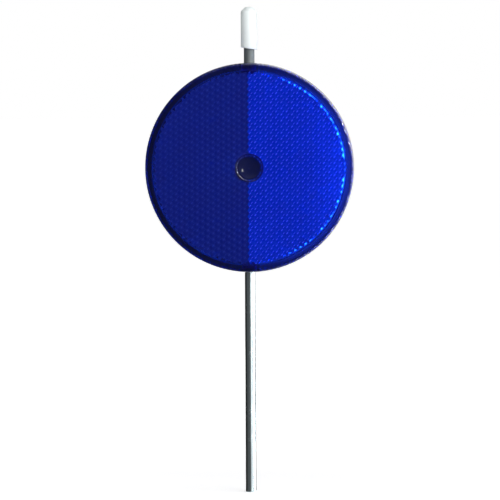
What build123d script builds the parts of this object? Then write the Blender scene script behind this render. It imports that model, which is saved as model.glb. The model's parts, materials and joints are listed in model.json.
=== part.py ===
from build123d import *

import os
from math import cos, radians, sin, sqrt, tan

# Driveway marker: a two-sided reflector head that turns on an aluminium rod with a soft cap on top.
# The rod stands on the Z axis with its foot at the origin, and the head's front faces -Y.
# All sizes are in millimetres.

# Rod: the stake below the head, then the head, the bare stretch above it and the end inside the cap
ROD_DIAMETER = 4.2
STAKE_LENGTH = 87.1
BARE_TOP_LENGTH = 5.7
ROD_END_CHAMFER = 0.3
NECK_DEPTH = 0.4

# Cap
CAP_WALL = 1.1
CAP_TOP_THICKNESS = 2.4
CAP_GRIP_LENGTH = 14.0
CAP_BEVEL = 1.7
CAP_ROUND = 0.5
CAP_MOUTH_SLANT = 8.0

# Head
LENS_DIAMETER = 82.55
LENS_FACE_THICKNESS = 1.6
LENS_EDGE_ROUND = 0.5
LENS_DRAFT = 3.0
RIM_WIDTH = 2.8
RIM_FOOT = 0.6

# Prism field behind the lens face
PRISM_PITCH = 2.4
PRISM_LAND = 0.15
FIELD_INNER_MARGIN = 0.15
FIELD_OUTER_MARGIN = 0.7
FIELD_SEAM = 0.2

# Centre recess and its plug
RECESS_ROUND = 0.6
RECESS_DEPTH = 1.1
PLUG_RADIUS = 4.65
PLUG_RIM_HEIGHT = 0.6
PLUG_RIM_WIDTH = 0.4
PLUG_DISH_DEPTH = 0.9
PLUG_FLANGE_WIDTH = 0.5
PLUG_FLANGE_THICKNESS = 1.2
COLLAR_WALL = 0.8

# Shell
SHELL_WALL = 1.0
SHELL_FLOOR = 1.0
SHELL_FLANGE = 1.0
PARTING_CHAMFER = 0.35
SPINE_WALL = 0.6
SPINE_SIDE_WALL = 2.0
PEG_DIAMETER = 3.0
PEG_LENGTH = 1.9
PEG_SPREAD = 24.0
PEG_BOSS_WALL = 1.4

# Fits and gaps
RUNNING_CLEARANCE = 0.05
SEAT_CLEARANCE = 0.1
NECK_END_CLEARANCE = 0.15
PRISM_GAP = 0.15
PEG_END_CLEARANCE = 0.3

# Worked out from the sizes above, with Z out of the lens face and 0 where the two shells meet
rod_radius = ROD_DIAMETER / 2
channel_radius = rod_radius + RUNNING_CLEARANCE
neck_radius = rod_radius - NECK_DEPTH
lens_radius = LENS_DIAMETER / 2
head_height = STAKE_LENGTH + lens_radius
rod_length = head_height + lens_radius + BARE_TOP_LENGTH + CAP_GRIP_LENGTH
rim_inner_radius = lens_radius - RIM_WIDTH
rim_foot_radius = lens_radius - RIM_FOOT
shell_inner_radius = rim_inner_radius - SHELL_WALL
flange_radius = PLUG_RADIUS + PLUG_FLANGE_WIDTH
collar_bore_radius = flange_radius + SEAT_CLEARANCE
collar_radius = collar_bore_radius + COLLAR_WALL
cell_radius = PRISM_PITCH / sqrt(3)
prism_step = PRISM_PITCH / sqrt(6)

floor_level = channel_radius + SPINE_WALL
tip_level = floor_level + PRISM_GAP
root_level = tip_level + 2 * prism_step
plate_level = root_level + PRISM_LAND
face_level = plate_level + LENS_FACE_THICKNESS
flange_level = face_level - RECESS_DEPTH - PLUG_RIM_HEIGHT
boss_level = flange_level - PLUG_FLANGE_THICKNESS
rim_slope = (rim_foot_radius - rim_inner_radius) / (plate_level - SHELL_FLANGE)
shell_foot_radius = rim_foot_radius - SEAT_CLEARANCE
shell_radius = shell_foot_radius - rim_slope * (floor_level - SHELL_FLANGE)


def rod():
    """Straight rod with chamfered ends and a rolled neck where the head's lower wall holds it."""
    neck_bottom = head_height - lens_radius - NECK_END_CLEARANCE
    neck_top = head_height - shell_inner_radius + NECK_END_CLEARANCE
    outline = Polyline(
        (0, 0),
        (rod_radius - ROD_END_CHAMFER, 0),
        (rod_radius, ROD_END_CHAMFER),
        (rod_radius, neck_bottom),
        (neck_radius, neck_bottom),
        (neck_radius, neck_top),
        (rod_radius, neck_top),
        (rod_radius, rod_length - ROD_END_CHAMFER),
        (rod_radius - ROD_END_CHAMFER, rod_length),
        (0, rod_length),
        close=True,
    )
    return revolve(Plane.XZ * make_face(outline), Axis.Z)


def rod_cap():
    """Dipped vinyl cap: a blind bore on the rod's end, a bevelled top and a mouth cut at a slant."""
    outer_radius = channel_radius + CAP_WALL
    mouth_level = rod_length - CAP_GRIP_LENGTH
    slant_rise = outer_radius * tan(radians(CAP_MOUTH_SLANT))
    lowest = mouth_level - slant_rise
    height = rod_length + CAP_TOP_THICKNESS - lowest
    body = Pos(0, 0, lowest) * Cylinder(outer_radius, height, align=(Align.CENTER, Align.CENTER, Align.MIN))
    body = chamfer(body.edges().group_by(Axis.Z)[-1], CAP_BEVEL)
    body = fillet(body.edges().filter_by(GeomType.CIRCLE).group_by(Axis.Z)[-2:], CAP_ROUND)
    bore = Pos(0, 0, lowest) * Cylinder(
        channel_radius, rod_length - lowest, align=(Align.CENTER, Align.CENTER, Align.MIN)
    )
    mouth_cut = Pos(0, 0, mouth_level) * Rot(0, CAP_MOUTH_SLANT, 0) * Box(
        4 * outer_radius, 4 * outer_radius, 4 * outer_radius, align=(Align.CENTER, Align.CENTER, Align.MAX)
    )
    return body - bore - mouth_cut


def hexagon(centre):
    """The six corners of one prism cell seen from the front, at 0, 60, ... 300 degrees."""
    return [
        (centre[0] + cell_radius * cos(radians(60 * k)), centre[1] + cell_radius * sin(radians(60 * k)))
        for k in range(6)
    ]


def field_cells(side):
    """Centres of the whole cells on one side of the lens (1 right, -1 left), between collar and rim."""
    inner = collar_radius + FIELD_INNER_MARGIN
    outer = rim_inner_radius - FIELD_OUTER_MARGIN
    columns = int(outer / (1.5 * cell_radius)) + 1
    rows = int(outer / PRISM_PITCH) + 1
    centres = []
    for column in range(columns):
        x = side * (FIELD_SEAM / 2 + (0.75 + 1.5 * column) * cell_radius)
        offset = PRISM_PITCH / 2 if (column + (side < 0)) % 2 else 0
        for row in range(-rows, rows + 1):
            centre = (x, row * PRISM_PITCH + offset)
            reach = [sqrt(cx * cx + cy * cy) for cx, cy in hexagon(centre)]
            if min(reach) > inner and max(reach) < outer:
                centres.append(centre)
    return centres


def prism_field(side):
    """Half of the prism field as one solid: each cell is the corner of a cube, with its tip towards the rod.

    Seen along a cube's diagonal its three faces fill a hexagon, so the corners of neighbouring cells meet:
    every other corner of a cell lies one step above the tip, and the ones between lie two steps above it.
    """
    first_ridge = 0 if side > 0 else 3
    faces = []
    open_edges = {}
    for centre in field_cells(side):
        corners = [
            (x, y, tip_level + prism_step * (1 if (k - first_ridge) % 2 == 0 else 2))
            for k, (x, y) in enumerate(hexagon(centre))
        ]
        tip = (*centre, tip_level)
        for k in range(3):
            ridge = first_ridge + 2 * k
            quad = [tip] + [corners[(ridge + step) % 6] for step in range(3)]
            faces.append(Face(Wire.make_polygon(quad)))
        for k in range(6):
            start, end = corners[k], corners[(k + 1) % 6]
            key = tuple(round(value, 3) for value in start[:2] + end[:2])
            back = key[2:] + key[:2]
            if back in open_edges:
                del open_edges[back]
            else:
                open_edges[key] = (start, end)

    for start, end in open_edges.values():
        wall = [start, end, (*end[:2], plate_level), (*start[:2], plate_level)]
        faces.append(Face(Wire.make_polygon(wall)))

    outline = []
    following = {key[:2]: key for key in open_edges}
    place = next(iter(following))
    while not outline or place != next(iter(following)):
        key = following[place]
        outline.append((*open_edges[key][0][:2], plate_level))
        place = key[2:]
    faces.append(Face(Wire.make_polygon(outline)))
    return Solid(Shell(faces))


def lens():
    """Lens with its prism field, a collar round the centre recess and a wedge-shaped clear rim."""
    recess_radius = PLUG_RADIUS + RUNNING_CLEARANCE
    recess_edge = CenterArc((recess_radius + RECESS_ROUND, face_level - RECESS_ROUND), RECESS_ROUND, 90, 90)
    draft = radians(LENS_DRAFT)
    edge_level = face_level - LENS_EDGE_ROUND
    wall_radius = lens_radius - (edge_level - SHELL_FLANGE) * tan(draft)
    edge_centre = (wall_radius - LENS_EDGE_ROUND / cos(draft), edge_level)
    edge = CenterArc(edge_centre, LENS_EDGE_ROUND, LENS_DRAFT, 90 - LENS_DRAFT)
    inside = Polyline(
        recess_edge @ 1,
        (recess_radius, flange_level),
        (collar_bore_radius, flange_level),
        (collar_bore_radius, tip_level),
        (collar_radius, tip_level),
        (collar_radius, plate_level),
        (rim_inner_radius, plate_level),
        (rim_foot_radius, SHELL_FLANGE),
        (lens_radius, SHELL_FLANGE),
        edge @ 0,
    )
    face = Line(edge @ 1, recess_edge @ 0)
    body = revolve(Plane.XZ * make_face([recess_edge, inside, edge, face]), Axis.Z)
    return body + prism_field(1) + prism_field(-1) - rod_passage()


def rod_passage():
    """What the rod takes out of the head: its channel, and a narrower stretch through the lower wall."""
    bottom = (Align.CENTER, Align.CENTER, Align.MIN)
    up_the_rod = Pos(0, -shell_inner_radius, 0) * Rot(-90, 0, 0)
    down_the_rod = Pos(0, -shell_inner_radius, 0) * Rot(90, 0, 0)
    channel = up_the_rod * Cylinder(channel_radius, shell_inner_radius + LENS_DIAMETER, align=bottom)
    neck_channel = down_the_rod * Cylinder(neck_radius + RUNNING_CLEARANCE, LENS_DIAMETER, align=bottom)
    return channel + neck_channel


def shell():
    """Dark back of one half: a plate that fits the lens's rim, with its flange, the rod's spine and pegs."""
    bottom = (Align.CENTER, Align.CENTER, Align.MIN)
    plate_outline = Polyline(
        (0, floor_level - SHELL_FLOOR),
        (shell_inner_radius, floor_level - SHELL_FLOOR),
        (shell_inner_radius, 0),
        (lens_radius - PARTING_CHAMFER, 0),
        (lens_radius, PARTING_CHAMFER),
        (lens_radius, SHELL_FLANGE),
        (shell_foot_radius, SHELL_FLANGE),
        (shell_radius, floor_level),
        (0, floor_level),
        close=True,
    )
    plate = revolve(Plane.XZ * make_face(plate_outline), Axis.Z)
    spine = Box(2 * (channel_radius + SPINE_SIDE_WALL), 2 * shell_radius, floor_level, align=bottom)
    spine &= Cylinder(shell_radius, floor_level, align=bottom)
    boss = Cylinder(flange_radius, boss_level, align=bottom)
    body = plate + spine + boss

    peg_radius = PEG_DIAMETER / 2
    socket_radius = peg_radius + RUNNING_CLEARANCE
    socket_depth = PEG_LENGTH + PEG_END_CLEARANCE
    for up in (-1, 1):
        for side in (-1, 1):
            place = Pos(side * PEG_SPREAD, up * PEG_SPREAD, 0)
            body += place * Cylinder(socket_radius + PEG_BOSS_WALL, floor_level, align=bottom)
        peg_place = Pos(PEG_SPREAD, up * PEG_SPREAD, -PEG_LENGTH)
        socket_place = Pos(-PEG_SPREAD, up * PEG_SPREAD, 0)
        body += peg_place * Cylinder(peg_radius, PEG_LENGTH, align=bottom)
        body -= socket_place * Cylinder(socket_radius, socket_depth, align=bottom)
    return body - rod_passage()


def centre_plug():
    """Dished plug, held by its flange between the lens's lip and the shell's boss."""
    top_level = face_level - RECESS_DEPTH
    dish_radius = PLUG_RADIUS - PLUG_RIM_WIDTH
    dish = SagittaArc((dish_radius, top_level), (-dish_radius, top_level), PLUG_DISH_DEPTH)
    half_dish = split(dish, Plane.YZ)
    outline = Polyline(
        half_dish @ 1,
        (0, boss_level),
        (flange_radius, boss_level),
        (flange_radius, flange_level),
        (PLUG_RADIUS, flange_level),
        (PLUG_RADIUS, top_level),
        half_dish @ 0,
    )
    return revolve(Plane.XZ * make_face([half_dish, outline]), Axis.Z)


def main():
    front = Pos(0, 0, head_height) * Rot(90, 0, 0)
    rear = Pos(0, 0, head_height) * Rot(0, 0, 180) * Rot(90, 0, 0)
    lens_half = lens()
    shell_half = shell()
    plug = centre_plug()
    nodes = {
        "rod": rod(),
        "rod_cap": rod_cap(),
        "front_lens": front * lens_half,
        "rear_lens": rear * lens_half,
        "front_shell": front * shell_half,
        "rear_shell": rear * shell_half,
        "front_centre_plug": front * plug,
        "rear_centre_plug": rear * plug,
    }
    os.makedirs("parts", exist_ok=True)
    for name, piece in nodes.items():
        export_step(piece, f"parts/{name}.step")


main()
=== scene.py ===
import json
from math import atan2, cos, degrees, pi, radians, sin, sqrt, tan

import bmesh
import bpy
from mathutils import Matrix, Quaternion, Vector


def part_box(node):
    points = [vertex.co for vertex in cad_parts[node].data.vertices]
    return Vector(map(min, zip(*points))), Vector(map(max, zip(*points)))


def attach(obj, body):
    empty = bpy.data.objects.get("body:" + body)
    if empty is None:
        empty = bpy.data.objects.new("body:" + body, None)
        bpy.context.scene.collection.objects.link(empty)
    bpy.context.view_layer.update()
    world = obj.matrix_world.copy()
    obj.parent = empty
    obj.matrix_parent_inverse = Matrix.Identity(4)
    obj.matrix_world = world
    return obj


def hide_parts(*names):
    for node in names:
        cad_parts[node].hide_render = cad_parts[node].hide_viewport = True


bl_info = {
    "name": "Driveway marker",
    "version": (1, 0, 0),
    "blender": (4, 5, 0),
    "location": "View3D > Sidebar > Marker",
    "description": "Dresses a round prismatic driveway marker on its CAD frame and sets up a studio",
    "category": "Add Mesh",
}

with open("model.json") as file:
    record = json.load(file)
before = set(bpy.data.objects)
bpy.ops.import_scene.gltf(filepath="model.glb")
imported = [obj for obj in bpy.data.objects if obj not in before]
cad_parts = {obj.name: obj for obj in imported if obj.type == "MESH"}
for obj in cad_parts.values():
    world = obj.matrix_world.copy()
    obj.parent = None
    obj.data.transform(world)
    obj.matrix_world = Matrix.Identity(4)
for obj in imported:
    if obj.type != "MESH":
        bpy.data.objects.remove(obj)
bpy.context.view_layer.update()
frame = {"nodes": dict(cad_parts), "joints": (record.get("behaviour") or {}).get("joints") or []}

MM = 0.001
CELL_CHART = "cell"
CUTTER_SIDES = 48
RING_SIDES = 192
CAP_SIDES = 64

# Places read from the frame, in metres. A lens's own frame has Z out of its face and 0 between the halves
lens_low, lens_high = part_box("front_lens")
plug_low, plug_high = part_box("front_centre_plug")
cap_low, cap_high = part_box("rod_cap")
rod_low, rod_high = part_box("rod")
head_joint = next(joint for joint in frame["joints"] if joint["name"] == "head_turn")
head_height = head_joint["pos_m"][2]
head_middle = Vector((0, 0, head_height))
lens_radius = (lens_high.x - lens_low.x) / 2
face_level = -lens_low.y
foot_level = -lens_high.y
plug_flange_radius = (plug_high.x - plug_low.x) / 2
cap_radius = (cap_high.x - cap_low.x) / 2
rod_radius = (rod_high.x - rod_low.x) / 2


# Sizes and colours that can be changed


class LensSettings(bpy.types.PropertyGroup):
    """Sizes and colours of the acrylic lenses."""

    tint: bpy.props.FloatVectorProperty(
        name="Acrylic tint",
        description="Light that comes back out of the acrylic after going in and out once",
        subtype="COLOR",
        default=(0.012, 0.05, 0.96),
        min=0,
        max=1,
    )
    # Painted shade: a dark opaque patch on the rim round the rod's notches, which hides the rod's reflection
    # there
    weld: bpy.props.FloatVectorProperty(
        name="Weld",
        description="Colour of the weld that closes the rim round the rod",
        subtype="COLOR",
        default=(0.03, 0.035, 0.11),
        min=0,
        max=1,
    )
    edge_round: bpy.props.FloatProperty(
        name="Edge round",
        description="Radius of the round between the face and the outer wall",
        default=0.5 * MM,
        unit="LENGTH",
    )
    draft: bpy.props.FloatProperty(
        name="Draft",
        description="Lean of the outer wall",
        default=radians(3),
        unit="ROTATION",
    )
    rim_width: bpy.props.FloatProperty(
        name="Rim width",
        description="Width of the clear rim round the prism field",
        default=2.8 * MM,
        unit="LENGTH",
    )
    rim_foot: bpy.props.FloatProperty(
        name="Rim foot",
        description="Width of the rim where it stands on the shell",
        default=0.6 * MM,
        unit="LENGTH",
    )
    rim_bevel: bpy.props.FloatProperty(
        name="Rim bevel",
        description="Slope of the bevel behind the clear rim",
        default=radians(50),
        unit="ROTATION",
    )
    plate_depth: bpy.props.FloatProperty(
        name="Plate depth",
        description="Thickness of the clear plate in front of the prisms",
        default=1.6 * MM,
        unit="LENGTH",
    )
    back_depth: bpy.props.FloatProperty(
        name="Back depth",
        description="Depth of the lens's back below its face",
        default=3.75 * MM,
        unit="LENGTH",
    )
    reeds: bpy.props.IntProperty(
        name="Reeds",
        description="Number of fine grooves round the outer wall",
        default=150,
        min=24,
    )
    reed_depth: bpy.props.FloatProperty(
        name="Reed depth",
        description="Depth of the grooves in the outer wall",
        default=0.12 * MM,
        unit="LENGTH",
    )
    recess_radius: bpy.props.FloatProperty(
        name="Recess radius",
        description="Radius of the hole that the plug shows through",
        default=4.7 * MM,
        unit="LENGTH",
    )
    recess_round: bpy.props.FloatProperty(
        name="Recess round",
        description="Radius of the round between the face and the recess",
        default=0.6 * MM,
        unit="LENGTH",
    )
    lip_depth: bpy.props.FloatProperty(
        name="Lip depth",
        description="Depth below the face of the lip that holds the plug's flange",
        default=1.7 * MM,
        unit="LENGTH",
    )
    rod_clearance: bpy.props.FloatProperty(
        name="Rod clearance",
        description="Gap between the rod and the notch above the head's middle",
        default=0.05 * MM,
        unit="LENGTH",
    )
    neck_depth: bpy.props.FloatProperty(
        name="Neck depth",
        description="How much thinner the rod is in the lower notch",
        default=0.4 * MM,
        unit="LENGTH",
    )


class PrismSettings(bpy.types.PropertyGroup):
    """Sizes and shades of the corner-prism field, with its painted shade, painted light and painted
    highlights.
    """

    pitch: bpy.props.FloatProperty(
        name="Pitch",
        description="Distance between neighbouring prisms in a column",
        default=2.4 * MM,
        unit="LENGTH",
    )
    tip_depth: bpy.props.FloatProperty(
        name="Tip depth",
        description="Depth of the prism tips below the lens face",
        default=3.71 * MM,
        unit="LENGTH",
    )
    seam: bpy.props.FloatProperty(
        name="Seam",
        description="Gap between the left and the right half",
        default=0.05 * MM,
        unit="LENGTH",
    )
    seam_place: bpy.props.FloatProperty(
        name="Seam place",
        description="How far right of the middle the halves meet",
        default=-0.4 * MM,
        unit="LENGTH",
    )
    inner_radius: bpy.props.FloatProperty(
        name="Inner radius",
        description="Radius that the prisms are trimmed to round the plug",
        default=5.7 * MM,
        unit="LENGTH",
    )
    outer_margin: bpy.props.FloatProperty(
        name="Outer margin",
        description="Gap between the prisms and the rim",
        default=0.1 * MM,
        unit="LENGTH",
    )
    border_slope: bpy.props.FloatProperty(
        name="Border slope",
        description="Slope of the border that the outermost prisms end in",
        default=radians(52),
        unit="ROTATION",
    )
    backing: bpy.props.FloatProperty(
        name="Backing",
        description="Thickness left behind the prism tips",
        default=0.015 * MM,
        unit="LENGTH",
    )
    # Painted shade and light: the halves are the same facets, the left one painted darker and the right one
    # lighter for the way light falls on them
    dim_painted_shade: bpy.props.FloatProperty(
        name="Dim half painted shade",
        description="Grey of the facets in the left half",
        default=0.2,
        min=0,
        max=1,
        subtype="FACTOR",
    )
    bright_painted_light: bpy.props.FloatProperty(
        name="Bright half painted light",
        description="Grey of the facets in the right half",
        default=0.46,
        min=0,
        max=1,
        subtype="FACTOR",
    )
    # Painted highlights: two light strokes painted into each prism cell
    dim_painted_highlight: bpy.props.FloatProperty(
        name="Dim painted highlights",
        description="Grey of the light strokes in the left half",
        default=0.28,
        min=0,
        max=1,
        subtype="FACTOR",
    )
    bright_painted_highlight: bpy.props.FloatProperty(
        name="Bright painted highlights",
        description="Grey of the light strokes in the right half",
        default=1.0,
        min=0,
        max=1,
        subtype="FACTOR",
    )
    # Painted light: the right half is painted lighter towards its outer side
    painted_side_light: bpy.props.FloatProperty(
        name="Painted side light",
        description="How much lighter the right half is at its outer side",
        default=1.35,
        min=0,
    )
    # Painted highlight colour: beside the painted strokes the facets keep less red and green
    beside: bpy.props.FloatVectorProperty(
        name="Beside the strokes",
        description="What is left of each colour beside the strokes in the right half",
        subtype="COLOR",
        default=(0.05, 0.65, 1.0),
        min=0,
        max=1,
    )
    border: bpy.props.FloatVectorProperty(
        name="Border",
        description="Colour that the border's facets mirror",
        subtype="COLOR",
        default=(0.2, 0.95, 0.95),
        min=0,
        max=1,
    )


class FinishSettings(bpy.types.PropertyGroup):
    """Colours of the rod, cap, shells and plugs."""

    # Painted reflection: the rod's cool green-blue tint stands for the colour of the surroundings that the
    # metal mirrors
    aluminium: bpy.props.FloatVectorProperty(
        name="Rod",
        description="Colour of the bright aluminium rod",
        subtype="COLOR",
        default=(0.68, 0.79, 0.82),
        min=0,
        max=1,
    )
    vinyl: bpy.props.FloatVectorProperty(
        name="Cap",
        description="Colour of the soft vinyl cap",
        subtype="COLOR",
        default=(0.8, 0.86, 0.86),
        min=0,
        max=1,
    )
    shell: bpy.props.FloatVectorProperty(
        name="Shells",
        description="Colour of the moulded shells",
        subtype="COLOR",
        default=(0.012, 0.012, 0.03),
        min=0,
        max=1,
    )
    plug: bpy.props.FloatVectorProperty(
        name="Plugs",
        description="Colour of the centre plugs",
        subtype="COLOR",
        default=(0.006, 0.008, 0.045),
        min=0,
        max=1,
    )


class CapSettings(bpy.types.PropertyGroup):
    """Form of the vinyl cap."""

    bevel: bpy.props.FloatProperty(
        name="Top bevel",
        description="Width of the bevel round the cap's top",
        default=1.7 * MM,
        unit="LENGTH",
    )
    slant: bpy.props.FloatProperty(
        name="Mouth slant",
        description="Slant of the cap's mouth, lower on the left",
        default=radians(8),
        unit="ROTATION",
    )
    lip: bpy.props.FloatProperty(
        name="Mouth lip",
        description="Round on the cap's mouth",
        default=0.3 * MM,
        unit="LENGTH",
    )
    grip: bpy.props.FloatProperty(
        name="Grip clearance",
        description="Gap between the bore and the rod",
        default=0.05 * MM,
        unit="LENGTH",
    )


class StageSettings(bpy.types.PropertyGroup):
    """Camera, lamps and surroundings."""

    azimuth: bpy.props.FloatProperty(
        name="Camera azimuth", description="Camera's turn to the right", default=radians(2.2), unit="ROTATION"
    )
    elevation: bpy.props.FloatProperty(
        name="Camera elevation", description="Camera's height angle", default=radians(2.4), unit="ROTATION"
    )
    roll: bpy.props.FloatProperty(
        name="Camera roll", description="Camera's lean to its right", default=radians(-0.27), unit="ROTATION"
    )
    distance: bpy.props.FloatProperty(
        name="Camera distance", description="From the camera to the rod", default=3.0, unit="LENGTH"
    )
    view_width: bpy.props.FloatProperty(
        name="View width", description="Width that fills the square image", default=0.1975, unit="LENGTH"
    )
    aim_side: bpy.props.FloatProperty(
        name="Aim side",
        description="How far right of the rod the camera looks",
        default=-0.02 * MM,
        unit="LENGTH",
    )
    aim_height: bpy.props.FloatProperty(
        name="Aim height", description="Height that the camera looks at", default=0.09578, unit="LENGTH"
    )
    floor: bpy.props.FloatVectorProperty(
        name="Floor",
        description="Colour of the floor",
        subtype="COLOR",
        default=(0.75, 0.75, 0.75),
        min=0,
        max=1,
    )
    fill: bpy.props.FloatProperty(
        name="Fill", description="Strength of the even light on matt surfaces", default=0.15, min=0
    )


# Selecting and shaping by operators


def start_clean():
    """Deselects every object, so that an operator acts only on what is picked next."""
    bpy.ops.object.select_all(action="DESELECT")


def choose(piece):
    """Makes a piece the only selected object, and the active one."""
    start_clean()
    piece.select_set(True)
    bpy.context.view_layer.objects.active = piece


def pick_vertices(test):
    """In edit mode, selects the vertices that pass a test, and nothing else."""
    mesh = bpy.context.edit_object.data
    bpy.ops.mesh.select_mode(type="VERT")
    bpy.ops.mesh.select_all(action="DESELECT")
    shape = bmesh.from_edit_mesh(mesh)
    for vertex in shape.verts:
        vertex.select_set(test(vertex))
    shape.select_flush_mode()
    bmesh.update_edit_mesh(mesh)


def pick_open_edges():
    """In edit mode, selects the edges that only one face uses."""
    bpy.ops.mesh.select_mode(type="EDGE")
    bpy.ops.mesh.select_all(action="DESELECT")
    bpy.ops.mesh.select_non_manifold(
        use_wire=False, use_boundary=True, use_multi_face=False, use_non_contiguous=False, use_verts=False
    )


def face_outwards():
    """In edit mode, turns every face of a closed form outwards."""
    bpy.ops.mesh.select_all(action="SELECT")
    bpy.ops.mesh.normals_make_consistent(inside=False)


def arc_points(centre, radius, start, end, steps):
    """Points of an arc as (radius, level) pairs, both ends included."""
    angles = [start + (end - start) * k / steps for k in range(steps + 1)]
    return [(centre[0] + radius * cos(angle), centre[1] + radius * sin(angle)) for angle in angles]


def turn_outline(name, outline, segments):
    """Carries a circle along an outline of (radius, level) points and leaves the form in edit mode."""
    start_clean()
    radius, level = outline[0]
    bpy.ops.mesh.primitive_circle_add(vertices=segments, radius=radius)
    piece = bpy.context.object
    piece.name = name
    bpy.ops.object.mode_set(mode="EDIT")
    bpy.ops.mesh.select_all(action="SELECT")
    bpy.ops.transform.translate(value=(0, 0, level))
    for next_radius, next_level in outline[1:]:
        bpy.ops.mesh.extrude_region_move(TRANSFORM_OT_translate={"value": (0, 0, next_level - level)})
        grow = next_radius / radius
        bpy.ops.transform.resize(value=(grow, grow, 1), center_override=(0, 0, next_level))
        radius, level = next_radius, next_level
    return piece


def apply_modifier(piece, kind, **values):
    """Adds a modifier with these values to a piece and applies it."""
    choose(piece)
    bpy.ops.object.modifier_add(type=kind)
    modifier = piece.modifiers[-1]
    for key, value in values.items():
        setattr(modifier, key, value)
    bpy.ops.object.modifier_apply(modifier=modifier.name)


def cut_with_cylinder(piece, radius, start, end):
    """Cuts a round channel through a piece with a boolean modifier."""
    start, end = Vector(start), Vector(end)
    along = end - start
    start_clean()
    bpy.ops.mesh.primitive_cylinder_add(
        vertices=CUTTER_SIDES,
        radius=radius,
        depth=along.length,
        location=(start + end) / 2,
        rotation=along.to_track_quat("Z", "Y").to_euler(),
    )
    cutter = bpy.context.object
    apply_modifier(piece, "BOOLEAN", operation="DIFFERENCE", solver="EXACT", object=cutter)
    bpy.data.objects.remove(cutter)


def smooth(piece, angle):
    """Smooth shading that keeps edges sharper than an angle."""
    choose(piece)
    bpy.ops.object.shade_smooth_by_angle(angle=angle)


def copy_piece(piece, name):
    """A copy of a piece with a mesh of its own."""
    choose(piece)
    bpy.ops.object.duplicate()
    bpy.context.object.name = name
    return bpy.context.object


def seat_on_head(piece, rear):
    """Turns a piece from the lens's own frame to the front or the rear of the head."""
    choose(piece)
    piece.location = head_middle
    piece.rotation_euler = (pi / 2, 0, pi if rear else 0)
    bpy.ops.object.transform_apply(location=True, rotation=True, scale=True)


def enlist(piece, body, node):
    """Gives a finished piece its body and hides the frame's node that it stands in for."""
    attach(piece, body)
    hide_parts(node)


def fit_both_sides(front, rear_name):
    """Seats a lens's piece on the front of the head and a copy of it on the rear."""
    rear = copy_piece(front, rear_name)
    seat_on_head(front, False)
    seat_on_head(rear, True)
    enlist(front, "head", "front_lens")
    enlist(rear, "head", "rear_lens")


# Node helpers


def feed(tree, socket, value):
    """Links an input to another node's output, or sets it to a value."""
    if isinstance(value, bpy.types.NodeSocket):
        tree.links.new(value, socket)
    else:
        socket.default_value = value


def feed_by_name(tree, node, inputs):
    """Feeds the inputs that are given by name, with spaces as underscores."""
    for key, value in inputs.items():
        feed(tree, node.inputs[key.replace("_", " ")], value)


def feed_in_order(tree, node, values):
    """Feeds a node's first inputs."""
    for socket, value in zip(node.inputs, values):
        feed(tree, socket, value)


def add_node(tree, kind, **inputs):
    """Adds a node and feeds its inputs."""
    node = tree.nodes.new(kind)
    feed_by_name(tree, node, inputs)
    return node


def math_node(tree, operation, *values):
    """A Math node's result, from numbers or sockets."""
    node = tree.nodes.new("ShaderNodeMath")
    node.operation = operation
    feed_in_order(tree, node, values)
    return node.outputs[0]


def vector_node(tree, operation, *values):
    """A Vector Math node's result: a number for a length, and otherwise a vector."""
    node = tree.nodes.new("ShaderNodeVectorMath")
    node.operation = operation
    feed_in_order(tree, node, values)
    return node.outputs["Value" if operation == "LENGTH" else "Vector"]


def split_vector(tree, vector):
    """The three parts of a vector, by name."""
    return add_node(tree, "ShaderNodeSeparateXYZ", Vector=vector).outputs


def object_place(tree):
    """A surface point in the piece's own coordinates."""
    return tree.nodes.new("ShaderNodeTexCoord").outputs["Object"]


def ranged(tree, value, low, high, to_low, to_high):
    """A value carried smoothly from one range to another."""
    node = add_node(
        tree, "ShaderNodeMapRange", Value=value, From_Min=low, From_Max=high, To_Min=to_low, To_Max=to_high
    )
    node.interpolation_type = "SMOOTHSTEP"
    return node.outputs["Result"]


def between(tree, part, first, second):
    """The first value where a mask is 0, and the second where it is 1."""
    return add_node(tree, "ShaderNodeMapRange", Value=part, To_Min=first, To_Max=second).outputs["Result"]


def turned_frame(tree, vector, turn, size=(1.0, 1.0, 1.0)):
    """A vector as seen from a frame that is turned about Z and has a size of its own."""
    node = add_node(tree, "ShaderNodeMapping", Vector=vector, Rotation=(0.0, 0.0, turn), Scale=size)
    node.vector_type = "TEXTURE"
    return node.outputs[0]


def tinted(tree, shade, colour):
    """A colour scaled by a shade that changes over the surface."""
    red, green, blue = [math_node(tree, "MULTIPLY", shade, part) for part in colour]
    return add_node(tree, "ShaderNodeCombineColor", Red=red, Green=green, Blue=blue).outputs[0]


def new_material(name):
    """A node material without a shader, its tree and the socket that takes its shader."""
    material = bpy.data.materials.new(name)
    material.use_nodes = True
    tree = material.node_tree
    tree.nodes.clear()
    return material, tree, tree.nodes.new("ShaderNodeOutputMaterial").inputs["Surface"]


def opaque(colour):
    """A colour setting as the four numbers that a socket takes."""
    return (*colour, 1)


# Surface effects that materials share


def group_tree(name, inputs, outputs):
    """A new shader node group with number inputs and outputs."""
    tree = bpy.data.node_groups.new(name, "ShaderNodeTree")
    for socket, default in inputs.items():
        given = tree.interface.new_socket(socket, in_out="INPUT", socket_type="NodeSocketFloat")
        given.default_value = default
    for socket in outputs:
        tree.interface.new_socket(socket, in_out="OUTPUT", socket_type="NodeSocketFloat")
    return tree, tree.nodes.new("NodeGroupInput").outputs, tree.nodes.new("NodeGroupOutput").inputs


def place_group(tree, name, make, **inputs):
    """The outputs of a shared group with this material's values. The group is made at its first use."""
    node = tree.nodes.new("ShaderNodeGroup")
    node.node_tree = bpy.data.node_groups.get(name) or make(name)
    feed_by_name(tree, node, inputs)
    return node.outputs


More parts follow.
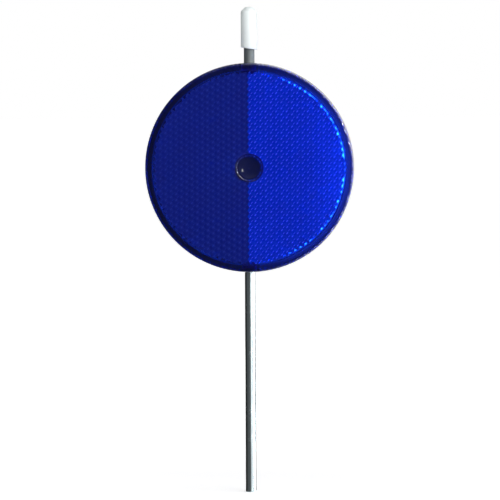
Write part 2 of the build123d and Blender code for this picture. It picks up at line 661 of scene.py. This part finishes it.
def handling_group(name):
    """Marks of handling: broad smudges and fine scratches, both from 0 to 1."""
    inputs = {"Smudge Scale": 60.0, "Scratch Scale": 900.0}
    tree, given, result = group_tree(name, inputs, ("Smudges", "Scratches"))
    place = object_place(tree)
    cloud = add_node(
        tree, "ShaderNodeTexNoise", Vector=place, Scale=given["Smudge Scale"], Detail=4.0, Roughness=0.6
    )
    drawn_out = add_node(
        tree, "ShaderNodeMapping", Vector=place, Rotation=(0.2, 0.5, 0.3), Scale=(1.0, 0.06, 0.06)
    )
    lines = add_node(
        tree, "ShaderNodeTexNoise", Vector=drawn_out.outputs[0], Scale=given["Scratch Scale"], Detail=2.0
    )
    feed(tree, result["Smudges"], ranged(tree, cloud.outputs["Fac"], 0.45, 0.75, 0.0, 1.0))
    feed(tree, result["Scratches"], ranged(tree, lines.outputs["Fac"], 0.66, 0.72, 0.0, 1.0))
    return tree


def handling_marks(tree, smudge_scale, scratch_scale):
    """Smudges and scratches of this scale."""
    return place_group(
        tree, "Handling marks", handling_group, Smudge_Scale=smudge_scale, Scratch_Scale=scratch_scale
    )


def grain_group(name):
    """Height of a moulded surface: fine grain over a slow ripple."""
    inputs = {"Grain Scale": 2500.0, "Ripple Scale": 120.0, "Ripple": 0.4}
    tree, given, result = group_tree(name, inputs, ("Height",))
    place = object_place(tree)
    grain = add_node(tree, "ShaderNodeTexNoise", Vector=place, Scale=given["Grain Scale"], Detail=3.0)
    ripple = add_node(tree, "ShaderNodeTexNoise", Vector=place, Scale=given["Ripple Scale"], Detail=1.0)
    waves = math_node(tree, "MULTIPLY", ripple.outputs["Fac"], given["Ripple"])
    feed(tree, result["Height"], math_node(tree, "ADD", grain.outputs["Fac"], waves))
    return tree


def moulded_bump(tree, strength, grain_scale, ripple):
    """A normal with the grain and the ripple of a moulded surface."""
    relief = place_group(tree, "Moulded grain", grain_group, Grain_Scale=grain_scale, Ripple=ripple)
    bump = add_node(
        tree, "ShaderNodeBump", Strength=strength, Distance=0.05 * MM, Height=relief["Height"]
    )
    return bump.outputs["Normal"]


def painted_highlight_group(name):
    """Grey of the prism facets, painted lighter towards the outer sides, with two painted highlight strokes
    in each cell, and the strokes alone from 0 to 1.

    A cell's chart has its middle at 0 and its corners at 1. The strokes lie on one line through the middle.
    """
    pair_line = radians(60)
    from_middle = 0.5
    lean = radians(-12)
    size = (0.46, 0.14, 1.0)
    inputs = {"Shade": 0.2, "Stroke Shade": 0.3, "Side Gain": 1.0}
    tree, given, result = group_tree(name, inputs, ("Grey", "Stroke"))
    chart = tree.nodes.new("ShaderNodeUVMap")
    chart.uv_map = CELL_CHART
    paired = split_vector(tree, turned_frame(tree, chart.outputs[0], pair_line))
    end = math_node(tree, "SIGN", paired["X"])
    along = math_node(tree, "MULTIPLY_ADD", end, -from_middle, paired["X"])
    offset = add_node(tree, "ShaderNodeCombineXYZ", X=along, Y=paired["Y"]).outputs[0]
    reach = vector_node(tree, "LENGTH", turned_frame(tree, offset, lean, size))
    # Painted highlight: mask of the two strokes in each cell
    stroke = ranged(tree, reach, 0.5, 1.2, 1.0, 0.0)

    place = object_place(tree)
    cloud = add_node(tree, "ShaderNodeTexNoise", Vector=place, Scale=330.0, Detail=2.0)
    uneven = ranged(tree, cloud.outputs["Fac"], 0.3, 0.7, 0.75, 1.2)
    # Painted light: the facets' grey rises towards the lens's outer sides
    outwards = math_node(tree, "ABSOLUTE", split_vector(tree, place)["X"])
    gain = ranged(tree, outwards, 0.5 * lens_radius, 0.95 * lens_radius, 1.0, given["Side Gain"])
    rise = math_node(tree, "SUBTRACT", given["Stroke Shade"], given["Shade"])
    lift = math_node(tree, "MULTIPLY", math_node(tree, "MULTIPLY", stroke, uneven), rise)
    grey = math_node(tree, "MULTIPLY", math_node(tree, "ADD", lift, given["Shade"]), gain)
    feed(tree, result["Grey"], grey)
    feed(tree, result["Stroke"], stroke)
    return tree


# Materials


def acrylic_material(name, tint, roughness):
    """Clear acrylic that lets the lamps through to the prisms."""
    material, tree, surface = new_material(name)
    marks = handling_marks(tree, smudge_scale=45.0, scratch_scale=700.0)
    worn = math_node(tree, "MULTIPLY", marks["Smudges"], 0.05)
    scored = math_node(tree, "MULTIPLY", marks["Scratches"], 0.1)
    haze = math_node(tree, "ADD", math_node(tree, "ADD", worn, scored), roughness)
    glass = add_node(
        tree,
        "ShaderNodeBsdfPrincipled",
        Base_Color=opaque(tint),
        Roughness=haze,
        IOR=1.49,
        Transmission_Weight=1.0,
        Normal=moulded_bump(tree, strength=0.02, grain_scale=300.0, ripple=1.0),
    )
    through = add_node(tree, "ShaderNodeBsdfTransparent", Color=tuple(sqrt(part) for part in opaque(tint)))
    path = tree.nodes.new("ShaderNodeLightPath")
    mixed = tree.nodes.new("ShaderNodeMixShader")
    feed_in_order(tree, mixed, (path.outputs["Is Shadow Ray"], glass.outputs[0], through.outputs[0]))
    feed(tree, surface, mixed.outputs[0])
    return material


def prism_material(name, shade, highlight_shade, painted_side_light, beside):
    """Facets of one half, whose grey is painted shade in the dim half and painted light in the bright half,
    with two painted highlight strokes in each cell.

    Beside a painted highlight stroke less red and green is left, as of light that has gone further through
    the acrylic.
    Light goes from facet to facet in a prism, which evens them out, so their normals lean towards the face's.
    """
    material, tree, surface = new_material(name)
    pattern = place_group(
        tree, "Prism strokes", painted_highlight_group, Shade=shade, Stroke_Shade=highlight_shade, Side_Gain=painted_side_light
    )
    red, green, blue = [
        math_node(tree, "MULTIPLY", pattern["Grey"], ranged(tree, pattern["Stroke"], 0.0, 1.0, left, 1.0))
        for left in beside
    ]
    colour = add_node(tree, "ShaderNodeCombineColor", Red=red, Green=green, Blue=blue)
    rear = math_node(tree, "GREATER_THAN", split_vector(tree, object_place(tree))["Y"], 0.0)
    straight_out = add_node(tree, "ShaderNodeCombineColor", Red=0.5, Green=rear, Blue=0.5)
    evened = add_node(tree, "ShaderNodeNormalMap", Strength=0.85, Color=straight_out.outputs[0])
    evened.space = "OBJECT"
    facets = add_node(
        tree,
        "ShaderNodeBsdfPrincipled",
        Base_Color=colour.outputs[0],
        Roughness=0.9,
        Specular_IOR_Level=0.0,
        Normal=evened.outputs["Normal"],
    )
    feed(tree, surface, facets.outputs[0])
    # The correction would bring each facet's own lean back into its shade
    material.cycles.use_bump_map_correction = False
    return material


def border_material(colour):
    """Polished slope that cuts the outermost prisms: its facets mirror the light that comes in at the rim."""
    material, tree, surface = new_material("border_facets")
    marks = handling_marks(tree, smudge_scale=300.0, scratch_scale=900.0)
    worn = math_node(tree, "MULTIPLY_ADD", marks["Smudges"], 0.04, 0.02)
    facets = add_node(
        tree, "ShaderNodeBsdfPrincipled", Base_Color=opaque(colour), Metallic=1.0, Roughness=worn
    )
    feed(tree, surface, facets.outputs[0])
    return material


def aluminium_material(colour):
    """Drawn aluminium: fine lines along the rod, smudges, sawn ends, and darker, duller and less metallic
    from the head's bottom up.
    """
    material, tree, surface = new_material("bright_aluminium")
    coordinates = tree.nodes.new("ShaderNodeTexCoord").outputs
    place = coordinates["Object"]
    drawn = add_node(tree, "ShaderNodeMapping", Vector=place, Scale=(4000.0, 4000.0, 25.0))
    lines = add_node(tree, "ShaderNodeTexNoise", Vector=drawn.outputs[0], Scale=1.0, Detail=3.0)
    upright = math_node(tree, "ABSOLUTE", split_vector(tree, coordinates["Normal"])["Z"])
    cut_end = ranged(tree, upright, 0.9, 0.95, 0.0, 1.0)
    sawn = add_node(tree, "ShaderNodeTexWave", Vector=place, Scale=900.0, Distortion=2.0, Detail=2.0)
    relief = between(tree, cut_end, lines.outputs["Fac"], sawn.outputs["Fac"])

    head_bottom = head_height - lens_radius
    fade = 0.1 * MM
    height = split_vector(tree, place)["Z"]
    # Darker, duller and less metallic from the head's bottom up
    above_head_bottom = ranged(tree, height, head_bottom - fade, head_bottom + fade, 0.0, 1.0)
    marks = handling_marks(tree, smudge_scale=110.0, scratch_scale=800.0)
    worn = math_node(tree, "MULTIPLY_ADD", marks["Smudges"], 0.12, 0.14)
    polish = math_node(tree, "MULTIPLY_ADD", relief, 0.12, worn)
    tone = ranged(tree, relief, 0.3, 0.7, 0.88, 1.05)
    clean = math_node(tree, "SUBTRACT", tone, math_node(tree, "MULTIPLY", marks["Smudges"], 0.12))
    shade = math_node(tree, "MULTIPLY", clean, math_node(tree, "MULTIPLY_ADD", above_head_bottom, -0.85, 1.0))
    bump = add_node(tree, "ShaderNodeBump", Strength=0.15, Distance=0.03 * MM, Height=relief)
    metal = add_node(
        tree,
        "ShaderNodeBsdfPrincipled",
        Base_Color=tinted(tree, shade, colour),
        Metallic=math_node(tree, "MULTIPLY_ADD", above_head_bottom, -0.7, 1.0),
        Roughness=math_node(tree, "MULTIPLY_ADD", above_head_bottom, 0.4, polish),
        Normal=bump.outputs["Normal"],
    )
    feed(tree, surface, metal.outputs[0])
    return material


def plastic_material(name, colour, roughness, gloss, grain_scale, bump):
    """Moulded plastic with grain, a slow ripple, smudges and scratches."""
    material, tree, surface = new_material(name)
    marks = handling_marks(tree, smudge_scale=130.0, scratch_scale=600.0)
    sheen = math_node(tree, "MULTIPLY_ADD", marks["Smudges"], -0.25 * roughness, roughness)
    lighter = math_node(tree, "ADD", 1.0, math_node(tree, "MULTIPLY", marks["Scratches"], 0.35))
    plastic = add_node(
        tree,
        "ShaderNodeBsdfPrincipled",
        Base_Color=tinted(tree, lighter, colour),
        Roughness=sheen,
        Specular_IOR_Level=gloss,
        Normal=moulded_bump(tree, bump, grain_scale, ripple=0.5),
    )
    feed(tree, surface, plastic.outputs[0])
    return material


# Pieces


def lens_outline(sizes):
    """Half section of a lens as (radius, level) points, filled behind so that the prisms lie in it."""
    seat_gap = 0.02 * MM
    plug_gap = 0.1 * MM
    bevel_lip = 0.08 * MM
    low = foot_level + seat_gap
    edge_level = face_level - sizes.edge_round
    wall_radius = lens_radius - (edge_level - low) * tan(sizes.draft)
    edge_centre = (wall_radius - sizes.edge_round / cos(sizes.draft), edge_level)
    edge = arc_points(edge_centre, sizes.edge_round, sizes.draft, pi / 2, 6)
    recess_centre = (sizes.recess_radius + sizes.recess_round, face_level - sizes.recess_round)
    recess_edge = arc_points(recess_centre, sizes.recess_round, pi / 2, pi, 8)
    flange_level = face_level - sizes.lip_depth
    bore_radius = plug_flange_radius + plug_gap
    plate_level = face_level - sizes.plate_depth
    back_level = face_level - sizes.back_depth
    rim_inner = lens_radius - sizes.rim_width
    bevel_end = rim_inner + (plate_level - back_level) / tan(sizes.rim_bevel)
    return [
        (lens_radius, low),
        *edge,
        *recess_edge,
        (sizes.recess_radius, flange_level),
        (bore_radius, flange_level),
        (bore_radius, back_level),
        (rim_inner - bevel_lip, back_level),
        (rim_inner - bevel_lip, plate_level),
        (rim_inner, plate_level),
        (bevel_end, back_level),
        (lens_radius - sizes.rim_foot, low),
    ]


def lens_body(name, sizes):
    """One clear lens: a turned form with reeds round its wall and notches for the rod."""
    corners_per_reed = 8
    segments = corners_per_reed * sizes.reeds
    piece = turn_outline(name, lens_outline(sizes), segments)
    pick_open_edges()
    bpy.ops.mesh.bridge_edge_loops()
    face_outwards()
    wall_reach = lens_radius - (face_level - foot_level) * tan(sizes.draft) - sizes.edge_round / 2

    def in_groove(vertex):
        corner = round(atan2(vertex.co.y, vertex.co.x) / (2 * pi / segments))
        return vertex.co.xy.length > wall_reach and corner % corners_per_reed == 0

    pick_vertices(in_groove)
    pulled = 1 - sizes.reed_depth / lens_radius
    bpy.ops.transform.resize(value=(pulled, pulled, 1), center_override=(0, 0, 0))
    bpy.ops.object.mode_set(mode="OBJECT")
    upper_notch = rod_radius + sizes.rod_clearance
    notch_start = 0.9 * lens_radius
    notch_end = 1.1 * lens_radius
    cut_with_cylinder(piece, upper_notch, (0, notch_start, 0), (0, notch_end, 0))
    cut_with_cylinder(piece, upper_notch - sizes.neck_depth, (0, -notch_start, 0), (0, -notch_end, 0))
    smooth(piece, angle=radians(30))
    finish_lens(piece, sizes, shade_reach=1.3 * upper_notch, shade_start=notch_start)
    return piece


def finish_lens(piece, sizes, shade_reach, shade_start):
    """Gives a lens its acrylic, tinted where light goes in and clear behind, and a dark patch of painted
    shade on the rim round the rod's notches.
    """
    polish = 0.015
    slightly_out = 0.02
    flat_out = 0.9
    materials = (
        acrylic_material("blue_acrylic", sizes.tint, polish),
        acrylic_material("inner_acrylic", (1, 1, 1), polish),
        plastic_material("notch_weld", sizes.weld, roughness=0.45, gloss=0.3, grain_scale=2500.0, bump=0.1),
    )
    for material in materials:
        piece.data.materials.append(material)
    outer, inner, weld = range(3)
    for polygon in piece.data.polygons:
        place, facing = polygon.center, polygon.normal.z
        polygon.material_index = outer if facing > slightly_out else inner
        # Painted shade: the rim's faces round the notches get the dark patch
        if abs(place.x) < shade_reach and place.xy.length > shade_start and facing < flat_out:
            polygon.material_index = weld


def prism_cell(side, prisms):
    """One cell with its tip at the origin: a hexagon whose corners are drawn up to make a cube's corner."""
    radius = prisms.pitch / sqrt(3)
    step = prisms.pitch / sqrt(6)
    start_clean()
    bpy.ops.mesh.primitive_circle_add(
        vertices=6, radius=radius, fill_type="TRIFAN", rotation=(0, 0, radians(30))
    )
    cell = bpy.context.object
    bpy.ops.object.transform_apply(location=False, rotation=True, scale=False)
    chart = cell.data.uv_layers.active
    chart.name = CELL_CHART
    for loop in cell.data.loops:
        chart.data[loop.index].uv = cell.data.vertices[loop.vertex_index].co.xy / radius

    def on_edge(vertex):
        return vertex.co.xy.length > radius / 2

    def on_peak(vertex):
        sixth = round(degrees(atan2(vertex.co.y, side * vertex.co.x)) / 60)
        return on_edge(vertex) and sixth % 2 == 1

    bpy.ops.object.mode_set(mode="EDIT")
    for test in (on_edge, on_peak):
        pick_vertices(test)
        bpy.ops.transform.translate(value=(0, 0, step))
    bpy.ops.object.mode_set(mode="OBJECT")
    return cell


def drop_cells(field, corners, inner_radius, outer_radius):
    """Deletes the cells wholly in the middle or past the rim, joins the rest and stays in edit mode."""
    dropped = set()
    points = field.data.vertices
    for first in range(0, len(points), corners):
        cell = range(first, first + corners)
        reach = [points[k].co.xy.length for k in cell]
        if max(reach) < inner_radius or min(reach) > outer_radius:
            dropped.update(cell)
    bpy.ops.object.mode_set(mode="EDIT")
    pick_vertices(lambda vertex: vertex.index in dropped)
    bpy.ops.mesh.delete(type="VERT")
    bpy.ops.mesh.select_all(action="SELECT")
    bpy.ops.mesh.remove_doubles(threshold=0.01 * MM)


def prism_half(side, lens, prisms):
    """Half of a prism field, built up from one cell, with side 1 for the right half and -1 for the left."""
    half = prism_cell(side, prisms)
    corners = len(half.data.vertices)
    column_step = 1.5 * prisms.pitch / sqrt(3)
    tip_level = face_level - prisms.tip_depth
    outer_radius = lens_radius - lens.rim_width
    rows = int(outer_radius / prisms.pitch) + 2
    column_pairs = int(outer_radius / (2 * column_step)) + 2
    first_row = -rows * prisms.pitch + (0 if side > 0 else prisms.pitch / 2)
    first_column = prisms.seam_place + side * (prisms.seam + column_step) / 2
    bpy.ops.object.mode_set(mode="EDIT")
    bpy.ops.mesh.select_all(action="SELECT")
    bpy.ops.transform.translate(value=(first_column, first_row, tip_level))
    bpy.ops.object.mode_set(mode="OBJECT")
    runs = (
        (2, (side * column_step, side * prisms.pitch / 2, 0)),
        (2 * rows + 1, (0, prisms.pitch, 0)),
        (column_pairs, (side * 2 * column_step, 0, 0)),
    )
    for count, offset in runs:
        apply_modifier(
            half,
            "ARRAY",
            count=count,
            use_relative_offset=False,
            use_constant_offset=True,
            constant_offset_displace=offset,
        )
    drop_cells(half, corners, prisms.inner_radius, outer_radius)

    pick_open_edges()
    bpy.ops.mesh.extrude_region_move()
    bpy.ops.transform.resize(value=(1, 1, 0), center_override=(0, 0, tip_level - prisms.backing))
    bpy.ops.mesh.edge_face_add()
    face_outwards()
    bpy.ops.object.mode_set(mode="OBJECT")
    return half


def field_ring(lens, prisms):
    """The ring that the prism field is trimmed to, with a sloping outer side."""
    low = face_level - prisms.tip_depth - 2 * prisms.backing
    high = face_level - lens.plate_depth / 2
    outer = lens_radius - lens.rim_width - prisms.outer_margin
    outline = [
        (prisms.inner_radius, low),
        (outer, low),
        (outer - (high - low) / tan(prisms.border_slope), high),
        (prisms.inner_radius, high),
    ]
    ring = turn_outline("field_ring", outline, RING_SIDES)
    pick_open_edges()
    bpy.ops.mesh.bridge_edge_loops()
    face_outwards()
    bpy.ops.object.mode_set(mode="OBJECT")
    return ring


def prism_field(name, lens, prisms, materials):
    """Both halves of a prism field as one piece, with materials for the dim facets painted as shade, the
    bright facets painted as light, and the border facets.
    """
    left = prism_half(-1, lens, prisms)
    right = prism_half(1, lens, prisms)
    ring = field_ring(lens, prisms)
    # Each shape lists all three, so that a face keeps its material when the shapes are joined and trimmed
    for index, shape in enumerate((left, right, ring)):
        for material in materials:
            shape.data.materials.append(material)
        for polygon in shape.data.polygons:
            polygon.material_index = index
    start_clean()
    left.select_set(True)
    right.select_set(True)
    bpy.context.view_layer.objects.active = right
    bpy.ops.object.join()
    right.name = name
    apply_modifier(right, "BOOLEAN", operation="INTERSECT", solver="EXACT", object=ring)
    bpy.data.objects.remove(ring)
    return right


def vinyl_cap(name, sizes):
    """The soft cap: a turned form with a blind bore, a bevelled top and a slanted, rounded mouth."""
    bore = rod_radius + sizes.grip
    first_ring = 0.3 * bore
    top = cap_high.z
    below_mouth = cap_low.z - 1 * MM
    # The bevel's two edges are arcs that end a little before its own slope
    soft_radius = 1.05 * MM
    soft_reach = 0.5 * MM
    soft_turn = radians(38.3)
    wall_round = (cap_radius - soft_radius, top - sizes.bevel - soft_reach)
    top_round = (cap_radius - sizes.bevel - soft_reach, top - soft_radius)
    outline = [
        (first_ring, rod_high.z),
        (bore, rod_high.z),
        (bore, below_mouth),
        (cap_radius, below_mouth),
        *arc_points(wall_round, soft_radius, 0, soft_turn, 2),
        *arc_points(top_round, soft_radius, pi / 2 - soft_turn, pi / 2, 2),
    ]
    piece = turn_outline(name, outline, CAP_SIDES)
    bpy.ops.mesh.edge_face_add()
    pick_open_edges()
    bpy.ops.mesh.edge_face_add()
    bpy.ops.mesh.select_all(action="SELECT")
    mouth = cap_low.z + cap_radius * tan(sizes.slant)
    bpy.ops.mesh.bisect(
        plane_co=(0, 0, mouth), plane_no=(sin(sizes.slant), 0, cos(sizes.slant)), clear_inner=True
    )
    pick_open_edges()
    bpy.ops.mesh.bridge_edge_loops()
    face_outwards()
    bpy.ops.object.mode_set(mode="OBJECT")
    apply_modifier(
        piece, "BEVEL", width=sizes.lip, segments=3, limit_method="ANGLE", angle_limit=radians(60)
    )
    smooth(piece, angle=radians(50))
    return piece


# Stage


def ray_strength(tree, direct, diffuse):
    """One strength for camera, glossy and transmission rays and another for the rest."""
    path = tree.nodes.new("ShaderNodeLightPath").outputs
    seen = math_node(tree, "MAXIMUM", path["Is Camera Ray"], path["Is Glossy Ray"])
    seen = math_node(tree, "MAXIMUM", seen, path["Is Transmission Ray"])
    return between(tree, seen, diffuse, direct)


def direction(azimuth, elevation):
    """The way from the marker to a place round it, with azimuth 0 in front and 90 degrees on the right."""
    return Vector((sin(azimuth) * cos(elevation), -cos(azimuth) * cos(elevation), sin(elevation)))


def area_lamp(name, azimuth, elevation, distance, size, radiance, unseen_by):
    """A rectangular lamp that faces the head, placed in degrees, and the kinds of ray that don't meet it."""
    place = head_middle + distance * direction(radians(azimuth), radians(elevation))
    width, height = size
    start_clean()
    bpy.ops.object.light_add(type="AREA", location=place)
    lamp = bpy.context.object
    lamp.name = name
    lamp.rotation_euler = (head_middle - place).to_track_quat("-Z", "Y").to_euler()
    lamp.data.shape = "RECTANGLE"
    lamp.data.size = width
    lamp.data.size_y = height
    lamp.data.energy = radiance * pi * width * height
    for ray in ("camera", *unseen_by):
        setattr(lamp, f"visible_{ray}", False)


def studio_lamps():
    """Key on the right, top light, two lamps behind, a fill on the left and a spark for the plug."""
    area_lamp("key", 45, 20, distance=0.9, size=(0.9, 0.9), radiance=2.75, unseen_by=["glossy"])
    area_lamp("top", -8, 42, distance=1.0, size=(0.9, 0.5), radiance=2.6, unseen_by=[])
    area_lamp("kicker", 152, 4, distance=0.9, size=(1.0, 0.6), radiance=0.8, unseen_by=["transmission"])
    matt_only = ["glossy", "transmission"]
    area_lamp("rear", 205, 20, distance=1.0, size=(0.5, 0.5), radiance=4.5, unseen_by=matt_only)
    area_lamp("left_fill", -50, 0, distance=1.0, size=(0.5, 0.5), radiance=1.2, unseen_by=matt_only)
    area_lamp("spark", 27, 9, distance=0.8, size=(0.06, 0.12), radiance=250.0, unseen_by=["diffuse"])


def studio_world(fill):
    """White for what is seen, mirrored or seen through glass, and a soft fill for matt surfaces."""
    world = bpy.data.worlds.new("studio")
    bpy.context.scene.world = world
    world.use_nodes = True
    tree = world.node_tree
    background = tree.nodes["Background"]
    background.inputs["Color"].default_value = (1, 1, 1, 1)
    feed(tree, background.inputs["Strength"], ray_strength(tree, 1.0, fill))


def studio_floor(colour):
    """A wide pale floor that reads as white and keeps the object's shadow."""
    foot_glow, near_glow, far_glow = 0.44, 0.58, 0.9
    near_reach, far_reach = 0.25, 1.5
    start_clean()
    bpy.ops.mesh.primitive_plane_add(size=12)
    floor = bpy.context.object
    floor.name = "floor"
    material, tree, surface = new_material("pale_floor")
    away = vector_node(tree, "LENGTH", object_place(tree))
    near = ranged(tree, away, 0.0, near_reach, foot_glow, near_glow)
    far = ranged(tree, away, near_reach, far_reach, 0.0, far_glow - near_glow)
    glow = math_node(tree, "ADD", near, far)
    matt = add_node(
        tree,
        "ShaderNodeBsdfPrincipled",
        Base_Color=opaque(colour),
        Roughness=0.9,
        Specular_IOR_Level=0.0,
        Emission_Color=(1, 1, 1, 1),
        Emission_Strength=math_node(tree, "MULTIPLY", glow, ray_strength(tree, 1.0, 0.0)),
    )
    feed(tree, surface, matt.outputs[0])
    floor.data.materials.append(material)


def tent_cloth():
    """The tent's light: dark on the left, paler to the right, a pale panel in front and a bright slit."""
    dark, pale = 0.025, 0.4
    panel_edge, panel_white = 0.09, 0.95
    slit_place, slit_light = -0.07, 22.0
    material, tree, surface = new_material("tent_cloth")
    level = vector_node(tree, "MULTIPLY", object_place(tree), (1, 1, 0))
    towards = split_vector(tree, vector_node(tree, "NORMALIZE", level))
    rightwards = math_node(tree, "MULTIPLY_ADD", towards["X"], 0.5, 0.5)
    sides = math_node(tree, "MULTIPLY_ADD", math_node(tree, "POWER", rightwards, 4.0), pale, dark)
    panel = ranged(tree, towards["X"], 0.1, 0.2, panel_edge, panel_white)
    behind = ranged(tree, towards["Y"], -0.35, -0.15, 0.0, 1.0)
    from_slit = math_node(tree, "ABSOLUTE", math_node(tree, "SUBTRACT", towards["Y"], slit_place))
    slit = ranged(tree, from_slit, 0.12, 0.15, slit_light, 0.0)
    on_right = ranged(tree, rightwards, 0.8, 0.9, 0.0, 1.0)
    plain = between(tree, behind, panel, sides)
    strength = math_node(tree, "MULTIPLY_ADD", slit, on_right, plain)
    cloth = add_node(tree, "ShaderNodeEmission", Strength=strength)
    feed(tree, surface, cloth.outputs[0])
    return material


def dark_tent():
    """A tent that stands on the floor round the set, which only mirrors and glass see."""
    floor_gap = 0.2 * MM
    start_clean()
    bpy.ops.mesh.primitive_uv_sphere_add(segments=48, ring_count=24, radius=2.0, location=head_middle)
    tent = bpy.context.object
    tent.name = "tent"
    bpy.ops.object.mode_set(mode="EDIT")
    bpy.ops.mesh.select_all(action="SELECT")
    bpy.ops.mesh.bisect(plane_co=(0, 0, floor_gap), plane_no=(0, 0, 1), clear_inner=True, use_fill=True)
    bpy.ops.object.mode_set(mode="OBJECT")
    tent.data.materials.append(tent_cloth())
    tent.visible_camera = False
    tent.visible_diffuse = False
    tent.visible_shadow = False


def studio_camera(stage):
    """The camera in front of the marker, framing a square of the chosen width."""
    aim = Vector((stage.aim_side, 0, stage.aim_height))
    back = direction(stage.azimuth, stage.elevation)
    bpy.ops.object.camera_add(location=aim + stage.distance * back)
    camera = bpy.context.object
    level = (-back).to_track_quat("-Z", "Y")
    camera.rotation_euler = (level @ Quaternion((0, 0, 1), stage.roll)).to_euler()
    camera.data.sensor_width = 36
    camera.data.lens = camera.data.sensor_width * stage.distance / stage.view_width
    bpy.context.scene.camera = camera


# Operators


class MARKER_OT_lenses(bpy.types.Operator):
    """Model the two clear lenses"""

    bl_idname = "marker.lenses"
    bl_label = "Lenses"

    def execute(self, context):
        front = lens_body("front_lens_body", context.scene.marker_lens)
        fit_both_sides(front, "rear_lens_body")
        return {"FINISHED"}


class MARKER_OT_prisms(bpy.types.Operator):
    """Model the prism field of each lens"""

    bl_idname = "marker.prisms"
    bl_label = "Prism fields"

    def execute(self, context):
        prisms = context.scene.marker_prisms
        # One prism material, painted as shade for the left half and as light for the right half
        materials = [
            prism_material("dim_prisms", prisms.dim_painted_shade, prisms.dim_painted_highlight, 1.0, (1, 1, 1)),
            prism_material(
                "bright_prisms", prisms.bright_painted_light, prisms.bright_painted_highlight, prisms.painted_side_light, prisms.beside
            ),
            border_material(prisms.border),
        ]
        front = prism_field("front_prisms", context.scene.marker_lens, prisms, materials)
        # Light passes between the facets, so they cast no shadow on each other
        front.visible_shadow = False
        fit_both_sides(front, "rear_prisms")
        return {"FINISHED"}


class MARKER_OT_cap(bpy.types.Operator):
    """Model the soft vinyl cap"""

    bl_idname = "marker.cap"
    bl_label = "Vinyl cap"

    def execute(self, context):
        piece = vinyl_cap("vinyl_cap", context.scene.marker_cap)
        colour = context.scene.marker_finish.vinyl
        vinyl = plastic_material(
            "white_vinyl", colour, roughness=0.5, gloss=0.4, grain_scale=1500.0, bump=0.1
        )
        piece.data.materials.append(vinyl)
        enlist(piece, "cap", "rod_cap")
        return {"FINISHED"}


class MARKER_OT_finishes(bpy.types.Operator):
    """Give the rod, shells and plugs their finishes"""

    bl_idname = "marker.finishes"
    bl_label = "Rod, shell and plug finishes"

    def execute(self, context):
        finish = context.scene.marker_finish
        shell = plastic_material(
            "dark_shell", finish.shell, roughness=0.45, gloss=0.4, grain_scale=2500.0, bump=0.25
        )
        plug = plastic_material(
            "black_plug", finish.plug, roughness=0.1, gloss=0.03, grain_scale=3000.0, bump=0.02
        )
        materials = {
            "rod": aluminium_material(finish.aluminium),
            "front_shell": shell,
            "rear_shell": shell,
            "front_centre_plug": plug,
            "rear_centre_plug": plug,
        }
        for node, material in materials.items():
            mesh = frame["nodes"][node].data
            mesh.materials.clear()
            mesh.materials.append(material)
        return {"FINISHED"}


class MARKER_OT_stage(bpy.types.Operator):
    """Set up the floor, surroundings, lamps and camera"""

    bl_idname = "marker.stage"
    bl_label = "Stage"

    def execute(self, context):
        stage = context.scene.marker_stage
        studio_world(stage.fill)
        studio_floor(stage.floor)
        dark_tent()
        studio_lamps()
        studio_camera(stage)
        context.scene.view_settings.view_transform = "Standard"
        return {"FINISHED"}


# Panel and registration


class MARKER_PT_panel(bpy.types.Panel):
    """Sidebar list of the marker's pieces"""

    bl_idname = "MARKER_PT_panel"
    bl_label = "Driveway marker"
    bl_space_type = "VIEW_3D"
    bl_region_type = "UI"
    bl_category = "Marker"

    def draw(self, context):
        for operator in OPERATORS:
            self.layout.operator(operator.bl_idname)
        for name in SETTINGS:
            settings = getattr(context.scene, name)
            for key in settings.__annotations__:
                self.layout.prop(settings, key)


OPERATORS = (MARKER_OT_lenses, MARKER_OT_prisms, MARKER_OT_cap, MARKER_OT_finishes, MARKER_OT_stage)
SETTINGS = {
    "marker_lens": LensSettings,
    "marker_prisms": PrismSettings,
    "marker_cap": CapSettings,
    "marker_finish": FinishSettings,
    "marker_stage": StageSettings,
}


def register():
    for name, settings in SETTINGS.items():
        bpy.utils.register_class(settings)
        setattr(bpy.types.Scene, name, bpy.props.PointerProperty(type=settings))
    for operator in OPERATORS:
        bpy.utils.register_class(operator)
    bpy.utils.register_class(MARKER_PT_panel)


def unregister():
    bpy.utils.unregister_class(MARKER_PT_panel)
    for operator in reversed(OPERATORS):
        bpy.utils.unregister_class(operator)
    for name, settings in reversed(SETTINGS.items()):
        delattr(bpy.types.Scene, name)
        bpy.utils.unregister_class(settings)


def main():
    register()
    bpy.ops.marker.lenses()
    bpy.ops.marker.prisms()
    bpy.ops.marker.cap()
    bpy.ops.marker.finishes()
    bpy.ops.marker.stage()


if __name__ == "__main__":
    main()
